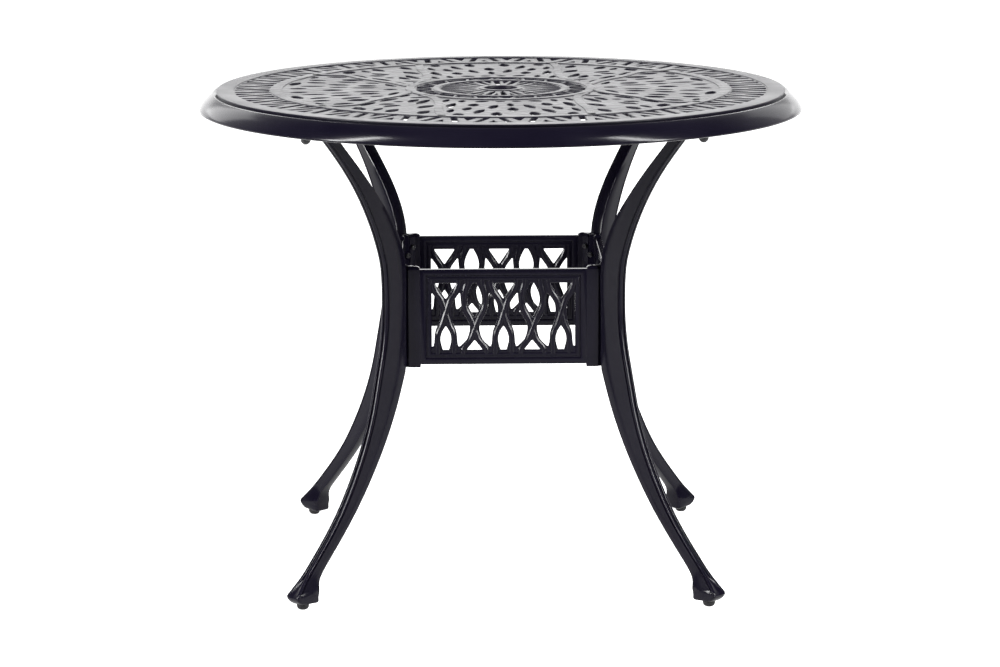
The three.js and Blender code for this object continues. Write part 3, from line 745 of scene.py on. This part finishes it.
# The inner and outer face and half of each one's width, as (height, value) pairs going up
def legCurves(s):
    flangeBottom = rimBottom - clearance - flange["thickness"]
    waistOuter = s["waistInner"] + s["waistDepth"]
    inner, outer = [(s["waistHeight"], s["waistInner"])], [(s["waistHeight"], waistOuter)]
    upper = upperShares, flangeBottom + lap, s["flareInner"], s["flareDepth"]
    lower = lowerShares, s["ankleHeight"], s["ankleInner"], s["ankleDepth"]
    for shares, endHeight, endInner, endDepth in (upper, lower):
        for along, out, inn in shares:
            height = mixed(s["waistHeight"], endHeight, along)
            outer.append((height, mixed(waistOuter, endInner + endDepth, out)))
            inner.append((height, mixed(s["waistInner"], endInner, inn)))
    innerWidths, outerWidths = [], []
    for row in foot["rows"]:
        height, inn, out, halfIn, halfOut = (value * mm for value in row)
        inner.append((height, footRadius + inn))
        outer.append((height, footRadius + out))
        innerWidths.append((height, halfIn))
        outerWidths.append((height, halfOut))
    for height, down in ((s["ankleHeight"], 1), (s["waistHeight"], 0), (rimBottom, 0)):
        innerWidths.append((height, mixed(s["innerWidth"], s["ankleInnerWidth"], down) / 2))
        outerWidths.append((height, mixed(s["outerWidth"], s["ankleOuterWidth"], down) / 2))
    return sorted(inner), sorted(outer), innerWidths, outerWidths


# Half of the leg's section, inner face first, as places from the inner face outwards and across
def halfSection(s, height, depth, halfIn, halfOut):
    start = depth - s["beadBack"]
    sideAt = mixed(halfIn, halfOut, start / depth)
    slope, notch = s["notch"]
    half = [(out * mm, halfIn - into * mm) for out, into in s["innerEdge"]]
    half += [(mixed(half[-1][0], start, 0.5), mixed(halfIn, sideAt, 0.5)), (start - slope, sideAt),
             (start, sideAt - notch)]
    lean = mixed(s["beadLean"], 1, min(height / s["waistHeight"], 1))
    for back, into in s["beadShape"]:
        half.append((depth - back * lean * mm, halfOut - into * mm))
    half.append((depth - s["groove"], s["seam"]))
    return half


# The same for the foot: a box with round corners, with as many points
def footSection(depth, halfIn, halfOut):
    deepMost, wideMost = foot["cornerMost"]
    corner = min(foot["corner"], depth * deepMost, halfIn * wideMost)
    half = arc(corner, halfIn - corner, corner, 3, 180, 90)
    for share in (0.5, 0.95):
        half.append((mixed(corner, depth - corner, share), mixed(halfIn, halfOut, share)))
    half += arc(depth - corner, halfOut - corner, corner, 7, 90, 8)
    half.append((depth, leg["seam"]))
    return half


def legShaft(s):
    inner, outer, innerWidths, outerWidths = legCurves(s)
    low, ankle, high = outer[0][0], s["ankleHeight"], outer[-1][0]
    heights = [mixed(low, ankle, share ** foot["crowding"]) for share in steps(foot["stations"])]
    heights += steps(s["stations"], ankle, high)[1:]
    rings = []
    for height in heights:
        face = smoothAt(inner, height)
        depth = smoothAt(outer, height) - face
        halfIn, halfOut = smoothAt(innerWidths, height), smoothAt(outerWidths, height)
        beaded, plain = halfSection(s, height, depth, halfIn, halfOut), footSection(depth, halfIn, halfOut)
        left = min(max((height - foot["beadsEnd"]) / foot["beadsFade"], 0), 1)
        half = [(mixed(a, c, left), mixed(b, d, left)) for (a, b), (c, d) in zip(plain, beaded)]
        rings.append([(face + out, across, height) for out, across in reversed(half)]
                     + [(face + out, -across, height) for out, across in half])
    return loftShell(rings)


def legFlange(s):
    (inner, outer), half, pieces = s["ends"], s["width"] / 2, s["endPieces"]
    outline = arc(outer, 0, half, pieces, -90, 90) + arc(inner, 0, half, pieces, 90, 270)
    holes = [circle(s["hole"], s["holeSides"], (end, 0)) for end in s["ends"]]
    flangeTop = rimBottom - clearance
    return plateShell(outline, holes, flangeTop - s["thickness"], flangeTop, s["edge"])


legShells = [legShaft(leg), legFlange(flange)]
for place, turn in legTurns.items():
    makePiece("leg." + place, legShells, powderCoat, ["leg_" + place], turn=turn)
print("legs made")


# Lattice panels at the waist, built facing -Y and then turned

panel = {
    "top": 474.5 * mm,
    "bottom": 333 * mm,
    "strip": 21 * mm,
    "sideStrip": 15 * mm,
    "depth": 10 * mm,
    "lattice": 6 * mm,
    "latticeInset": 4 * mm,            # from the frame's top and bottom
    "latticeEdge": 1.6 * mm,
    "ribWidth": 6.4 * mm,
    "ribBevel": (1.7 * mm, 1.1 * mm),  # across and deep
    "ribBack": (0.9 * mm, 0.3 * mm),   # from the panel's face to the ribs that lean right and left
    "ribOverrun": 0.06,                # into the frame, as a share of the opening's height
    "ribStations": 30,
    "postWidth": 20 * mm,
    "postDepth": 12 * mm,
    "postRise": 4.5 * mm,
    "postCorner": 2.6 * mm,
    "postEdge": 1.6 * mm,
    # mm up from its foot or down from its top, and in from its side
    "postFoot": [(0, 1.6), (0.5, 0.5), (1.4, 0)],
    "postCap": [(5, 0), (4.4, 1.1), (3.8, 1.2), (3.2, 0.5), (2, 1.3), (0.8, 3.4), (0, 7)],
    # mm in from the frame's edge and back from its face
    "moulding": [(0, 1.2), (0.5, 0.4), (1.4, 0), (7.6, 0), (8.8, 0.5), (9.6, 2), (10.6, 2.4), (11.6, 2),
                 (12.8, 1), (15, 0.9), (16.5, 1.4), (17.4, 2.6)],
    "leafCorner": 0.8 * mm,
    "leafPieces": 9,
    "triangleCorner": 2 * mm,
    "gapCorner": 1 * mm,               # of the openings between the pairs
    "gapReach": (0.05, 0.85),          # and where they lie, as shares of the height
    "gapLeast": 0.8 * mm,              # width, below which a gap has ended
    "gapPieces": 16,
    "lug": 17 * mm,
}
# Half widths of a crossing pair of ribs, as shares of the half pitch, against shares of the height:
# the pair's outer edges, and the leaf and the triangle inside it
crossings = [
    {
        "outside": [(0.04, 0.46), (0.065, 0.42), (0.27, 0.37), (0.44, 0.225), (0.56, 0.194), (0.7, 0.23),
                    (0.83, 0.43), (0.87, 0.5)],
        "leaf": [(0, 0.104), (0.15, 0.184), (0.27, 0.13), (0.36, 0)],
        "triangle": [(0.76, 0), (1, 0.385)],
    },
    {
        "outside": [(0.04, 0.54), (0.065, 0.48), (0.15, 0.28), (0.3, 0.17), (0.4, 0.198), (0.58, 0.42),
                    (0.83, 0.5), (0.87, 0.5)],
        "leaf": [(0.48, 0), (0.58, 0.132), (0.69, 0.243), (0.79, 0.255), (0.9, 0.18), (1, 0.057)],
        "triangle": [(0, 0.279), (0.15, 0)],
    },
]
lastPair = 2                 # counted from the middle one to either side
endSpace = 0.52              # from there to the frame, in half pitches

panelEnd = (leg["waistInner"] - clearance) * sqrt(2) - panelFace
postInnerEdge = panelEnd - panel["postWidth"]
openingHalf = postInnerEdge - panel["sideStrip"]
openingLow = panel["bottom"] + panel["strip"]
openingHigh = panel["top"] - panel["strip"]
halfPitch = openingHalf / (lastPair + endSpace)


def openingShape(leftOf, rightOf, places):
    tip = 0.05 * mm          # narrower than this, the two sides meet in one point
    edge = [(rightOf(place), place) for place in places]
    edge += [(leftOf(place), place) for place in reversed(places)
             if rightOf(place) - leftOf(place) > tip]
    return [(x, mixed(openingLow, openingHigh, place)) for x, place in edge]


# The middle of one rib of a crossing pair, as a share of the half pitch, at shares of the height
def ribLine(shape):
    line = []
    low, high = shape["outside"][0][0], shape["outside"][-1][0]
    for form in sorted((shape["leaf"], shape["triangle"])):
        start, end = form[0][0], form[-1][0]
        sign = -1 if line else 1
        for place in steps(5, start, end):
            edge = smoothAt(shape["outside"], min(max(place, low), high))
            line.append((place, sign * (max(smoothAt(form, place), 0) + edge) / 2))
    return line


def ribShells(s):
    shells = []
    half, (bevel, deep), overrun = s["ribWidth"] / 2, s["ribBevel"], s["ribOverrun"]
    for pair in range(-lastPair, lastPair + 1):
        line = ribLine(crossings[abs(pair % 2)])
        for side, back in zip((1, -1), s["ribBack"]):
            front, rear = -panelFace + back, -panelFace + s["depth"] - back
            path = [Vector((halfPitch * (pair + side * smoothAt(line, min(max(place, 0), 1))),
                            mixed(openingLow, openingHigh, place)))
                    for place in steps(s["ribStations"], -overrun, 1 + overrun)]
            section = [(bevel - half, front), (half - bevel, front), (half, front + deep),
                       (half, rear - deep), (half - bevel, rear), (bevel - half, rear),
                       (-half, rear - deep), (-half, front + deep)]
            shells.append(loftShell([[(point.x - left.x * out, y, point.y - left.y * out)
                                      for out, y in section] for point, left in withLeft(path)]))
    return shells


def latticeOpenings(s):
    openings = []
    for pair in range(-lastPair, lastPair + 1):
        middle = pair * halfPitch
        shape = crossings[abs(pair % 2)]
        for form, pieces, corner, rounds in (("leaf", s["leafPieces"], s["leafCorner"], 2),
                                             ("triangle", 1, s["triangleCorner"], 3)):
            table = shape[form]

            def half(place):
                return halfPitch * max(smoothAt(table, place), 0)

            raw = openingShape(lambda place: middle - half(place), lambda place: middle + half(place),
                               steps(pieces, table[0][0], table[-1][0]))
            openings.append(softened(raw, corner, rounds))
    for pair in range(-lastPair - 1, lastPair + 1):
        middle = pair * halfPitch
        own, other = crossings[abs(pair % 2)]["outside"], crossings[abs((pair + 1) % 2)]["outside"]

        def left(place):
            return max(-openingHalf, middle + halfPitch * smoothAt(own, place))

        def right(place):
            return min(openingHalf, middle + halfPitch * (1 - smoothAt(other, place)))

        places = [place for place in steps(s["gapPieces"], *s["gapReach"])
                  if right(place) - left(place) > s["gapLeast"]]
        openings.append(softened(openingShape(left, right, places), s["gapCorner"], 2))
    return openings


# A moulding swept round a rectangle: profile as places in from the edge and back from the face
def mouldedFrame(halfWidth, low, high, profile):
    corners = [(-halfWidth, low, 1, 1), (halfWidth, low, -1, 1), (halfWidth, high, -1, -1),
               (-halfWidth, high, 1, -1)]
    count = len(profile)
    points = [(x + inX * into, -panelFace + back, z + inZ * into)
              for x, z, inX, inZ in corners for into, back in profile]
    faces = []
    for corner in range(4):
        here, there = corner * count, (corner + 1) % 4 * count
        for k in range(count):
            after = (k + 1) % count
            faces.append([here + k, there + k, there + after, here + after])
    return points, faces


def panelPost(side):
    s = panel
    meet = panelEnd + panelFace
    mitre = clearance / 2 * sqrt(0.5)
    lugFace = meet - s["lug"] * sqrt(2)
    innerSide = panelFace - s["postDepth"]
    outline = [(postInnerEdge, -panelFace), (panelEnd - s["postCorner"], -panelFace),
               (panelEnd, s["postCorner"] - panelFace), (meet / 2 - mitre, -meet / 2 - mitre),
               (lugFace / 2 - mitre, -lugFace / 2 - mitre), (lugFace - innerSide, -innerSide),
               (postInnerEdge, -innerSide)]
    soft = softened(outline, s["postEdge"])
    middle = Vector(((postInnerEdge + panelEnd) / 2, -(panelFace + innerSide) / 2))
    rise = s["postRise"]
    low, high = s["bottom"] - rise, s["top"] + rise
    levels = [(low + up * mm, inset) for up, inset in s["postFoot"]]
    levels += [(high - down * mm, inset) for down, inset in s["postCap"]]
    rings = []
    for height, inset in levels:
        ring = []
        for x, y in soft:
            point = Vector((x, y))
            inward = middle - point
            point += inward * min(inset * mm / max(inward.length, 1 * mm), 0.9)
            ring.append((side * point.x, point.y, height))
        rings.append(ring if side > 0 else ring[::-1])
    return loftShell(rings)


def makePanels():
    s = panel
    upright = Matrix.Rotation(radians(90), 4, "X")
    inset = (s["depth"] - s["lattice"]) / 2
    outerHalf = postInnerEdge + lap
    low, high = s["bottom"] + s["latticeInset"], s["top"] - s["latticeInset"]
    box = [(-outerHalf, low), (outerHalf, low), (outerHalf, high), (-outerHalf, high)]
    sheet = plateShell(box, latticeOpenings(s), 0, s["lattice"], s["latticeEdge"])
    shells = [moved(sheet, Matrix.Translation((0, inset + s["lattice"] - panelFace, 0)) @ upright)]
    profile = [(into * mm, back * mm) for into, back in s["moulding"]]
    profile += [(into * mm, s["depth"] - back * mm) for into, back in reversed(s["moulding"])]
    shells.append(mouldedFrame(outerHalf, s["bottom"], s["top"], profile))
    shells += ribShells(s)
    shells += [panelPost(1), panelPost(-1)]
    for place, turn in {"front": 0, "right": 90, "rear": 180, "left": 270}.items():
        makePiece("panel." + place, shells, powderCoat, ["panel_" + place], turn=turn)


makePanels()
print("panels made")


# Bolts under the legs' flanges and screws inside the box of panels

bolt = {
    "radius": 3 * mm,
    "headRadius": 7 * mm,
    "headHeight": 8.5 * mm,
    "headSide": 3 * mm,
    "socket": 2.6 * mm,
    "sides": 36,
    "reach": 24.3 * mm,
}
screw = {
    "radius": 2.5 * mm,
    "headRadius": 4.2 * mm,
    "headHeight": 4.5 * mm,
    "headSide": 2.5 * mm,
    "socket": 1.5 * mm,
    "sides": 36,
    "reach": 31.3 * mm,
}


# A domed head with a six-sided socket, below the plane of zero, and a plain shank above it
def headedShell(s):
    head, radius = s["headHeight"], s["headRadius"]
    dome, socket = head - s["headSide"], s["socket"]
    rows = [(0, -head + dome * 0.75), (socket * 0.98, -head + dome * 0.72), (socket, -head + 0.25 * mm),
            (socket * 1.25, -head)]
    for angle in (25, 45, 65, 80):
        turn = radians(angle)
        rows.append((max(radius * sin(turn), socket * 1.3), -head + dome * (1 - cos(turn))))
    rows += [(radius, -head + dome + 0.2 * mm), (radius, -0.3 * mm), (radius - 0.3 * mm, 0),
             (s["radius"], 0), (s["radius"], s["reach"] - 0.5 * mm), (s["radius"] - 0.5 * mm, s["reach"]),
             (0, s["reach"])]

    def sixSided(reach, height, angle):
        if reach > socket * 1.02 or height > 0:
            return reach
        sector = radians(60)
        return reach / cos((angle + sector / 2) % sector - sector / 2) * cos(sector / 2)

    return latheShell(rows, s["sides"], sixSided)


def makeBolts():
    shell = headedShell(bolt)
    for place in legTurns:
        for end in ("inner", "outer"):
            node = f"bolt_{place}_{end}"
            low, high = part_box(node)
            spot = ((low[0] + high[0]) / 2, (low[1] + high[1]) / 2, low[2] + bolt["headHeight"])
            makePiece(f"bolt.{place}.{end}", [moved(shell, Matrix.Translation(spot))], blackSteel, [node])


def makeScrews():
    shell = headedShell(screw)
    headTop = leg["waistInner"] - panel["lug"] - clearance
    for place, turn in legTurns.items():
        for side in ("face", "side"):
            for level in ("lower", "upper"):
                node = f"screw_{place}_{side}_{level}"
                low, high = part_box(node)
                middle = Vector([(a + b) / 2 for a, b in zip(low, high)])
                outwards = Vector((cos(radians(turn)), sin(radians(turn)), 0))
                seat = middle + outwards * (headTop - middle.dot(outwards))
                aim = outwards.to_track_quat("Z", "X").to_matrix().to_4x4()
                makePiece(f"screw.{place}.{side}.{level}", [moved(shell, Matrix.Translation(seat) @ aim)],
                          blackSteel, [node])


makeBolts()
makeScrews()
print("bolts and screws made")


# Levelling glides, wound fully into the feet

glide = {
    "radius": 9.2 * mm,
    "neck": 8.8 * mm,
    "sideShares": [(0.44, 0), (0.62, 0.06), (0.78, 0.19), (0.9, 0.37), (0.97, 0.58), (1, 0.78),
                   (1, 0.92)],   # of the radius, and of the height
    "padTop": 8.2 * mm,
    "studRadius": 4 * mm,
    "studInPad": 4.5 * mm,
    "studLength": 26 * mm,
    "pitch": 1.25 * mm,
    "threadDepth": 0.5 * mm,
    "threadEnds": 1 * mm,    # over which it fades out
    "piecesPerTurn": 6,
    "padSides": 48,
    "studSides": 24,
}


def padShell(s):
    rise, well = s["padTop"], s["studRadius"] + clearance
    wellBottom = rise - s["studInPad"] - clearance
    rows = [(0, 0)]
    rows += [(s["radius"] * out, rise * up) for out, up in s["sideShares"]]
    rows += [(s["neck"], rise), (well, rise), (well, wellBottom), (0, wellBottom)]
    return latheShell(rows, s["padSides"])


def studShell(s):
    low = s["padTop"] - s["studInPad"]
    high = low + s["studLength"]
    count = int(s["studLength"] / s["pitch"] * s["piecesPerTurn"])
    rows = [(0, low), *((s["studRadius"], height) for height in steps(count, low, high)), (0, high)]

    def threaded(reach, height, angle):
        turns = (height / s["pitch"] - angle / (2 * pi)) % 1
        ends = min((height - low) / s["threadEnds"], (high - height) / s["threadEnds"], 1)
        return reach - s["threadDepth"] * (abs(2 * turns - 1) * ends + (1 - ends))

    return latheShell(rows, s["studSides"], threaded)


def makeGlides():
    pad, stud = padShell(glide), studShell(glide)
    for place, turn in legTurns.items():
        spot = Matrix.Translation((footRadius, 0, 0))
        body = "glide_" + place
        makePiece("glidePad." + place, [moved(pad, spot)], blackNylon, ["glide_pad_" + place],
                  body, turn)
        makePiece("glideStud." + place, [moved(stud, spot)], zincSteel, ["glide_stud_" + place],
                  body, turn)


makeGlides()
print("glides made")


# Floor, lamps and surroundings

studio = {
    "floorColor": 0.62,
    "floorReach": 40,
    "floorLift": 0.95,       # white added to the floor for the eye and for gloss
    "floorFade": (-1.5, 2),  # front to back, where gloss begins to see that white and sees all of it
    "skyLevel": 0.22,
    "lamps": {               # place, width and height, power, height aimed at
        "back": ((0, 5.5, 0.9), (8, 1.8), 50, 0.45),
        "high": ((0, 4.4, 2.9), (4, 1.2), 84, 0.7),
        "backLeft": ((-2.9, 3.6, 2.4), (1.8, 2.2), 32, 0.9),
        "backRight": ((2.9, 3.6, 2.4), (1.8, 2.2), 12, 0.9),
        "left": ((-3.05, -1.6, 2.95), (0.35, 4.9), 410, 2.95),
        "right": ((2.8, -1.85, 2.95), (0.35, 4.9), 350, 2.95),
    },
    "glossBehindCamera": 0.06,
    "behindFade": (0, 0.8),  # parts of the way from sideways to straight back
    "glossOverhead": 0.2,
    "overheadFade": (0.35, 0.85),
}


def combined(tree, operation, first, second):
    return addNode(tree, "Math", {0: first, 1: second}, operation=operation).outputs[0]


# One of a place's coordinates
def coordinate(tree, kind, axis):
    place = addNode(tree, "TexCoord", {}).outputs[kind]
    return addNode(tree, "SeparateXYZ", {0: place}).outputs[axis]


# 1 where the light path is one of the kinds named
def anyRay(tree, *kinds):
    path = addNode(tree, "LightPath", {})
    seen = path.outputs[kinds[0]]
    for kind in kinds[1:]:
        seen = combined(tree, "MAXIMUM", seen, path.outputs[kind])
    return seen


def softly(tree, value, fade, low, high):
    return ranged(tree, value, *fade, low, high, "SMOOTHSTEP")


def makeFloor(s):
    mesh = bpy.data.meshes.new("floor")
    reach = s["floorReach"]
    mesh.from_pydata([(-reach, -reach, 0), (reach, -reach, 0), (reach, reach, 0), (-reach, reach, 0)],
                     [], [(0, 1, 2, 3)])
    floor = addObject("floor", mesh)
    material = bpy.data.materials.new("paleFloor")
    material.use_nodes = True
    tree = material.node_tree
    tree.nodes.clear()
    fade = softly(tree, coordinate(tree, "Object", "Y"), s["floorFade"], 0, 1)
    inGloss = combined(tree, "MULTIPLY", anyRay(tree, "Is Glossy Ray", "Is Transmission Ray"), fade)
    shown = combined(tree, "MAXIMUM", inGloss, anyRay(tree, "Is Camera Ray"))
    strength = combined(tree, "MULTIPLY", shown, s["floorLift"])
    lift = addNode(tree, "Emission", {"Strength": strength}).outputs[0]
    matte = addNode(tree, "BsdfDiffuse", {"Color": (s["floorColor"],) * 3 + (1,)}).outputs[0]
    both = addNode(tree, "AddShader", {0: matte, 1: lift}).outputs[0]
    addNode(tree, "OutputMaterial", {"Surface": both})
    mesh.materials.append(material)


def makeLamp(name, place, size, power, aimHeight):
    data = bpy.data.lights.new(name + "Lamp", "AREA")
    data.energy = power
    data.shape = "RECTANGLE"
    data.size, data.size_y = size
    lamp = addObject(name + "Lamp", data)
    aim = (Vector((0, 0, aimHeight)) - Vector(place)).to_track_quat("-Z", "Y")
    lamp.matrix_world = Matrix.Translation(place) @ aim.to_matrix().to_4x4()


# White to the eye. In gloss it darkens overhead and towards the camera, as a room behind a camera does.
def makeSurroundings(s):
    world = bpy.data.worlds.new("surroundings")
    bpy.context.scene.world = world
    world.use_nodes = True
    tree = world.node_tree
    back = tree.nodes["Background"]
    behind = softly(tree, coordinate(tree, "Generated", "Y"), s["behindFade"], s["glossBehindCamera"], 1)
    above = softly(tree, coordinate(tree, "Generated", "Z"), s["overheadFade"], 1, s["glossOverhead"])
    gloss = combined(tree, "MULTIPLY", behind, above)
    inGloss = anyRay(tree, "Is Glossy Ray", "Is Transmission Ray")
    unseen = addNode(tree, "Mix", {"Factor": inGloss, "A": s["skyLevel"], "B": gloss}).outputs["Result"]
    toEye = anyRay(tree, "Is Camera Ray")
    level = addNode(tree, "Mix", {"Factor": toEye, "A": unseen, "B": 1}).outputs["Result"]
    back.inputs["Color"].default_value = (1, 1, 1, 1)
    tree.links.new(level, back.inputs["Strength"])


makeFloor(studio)
for lampName, lampValues in studio["lamps"].items():
    makeLamp(lampName, *lampValues)
makeSurroundings(studio)
bpy.context.scene.view_settings.view_transform = "Standard"
print("studio made")
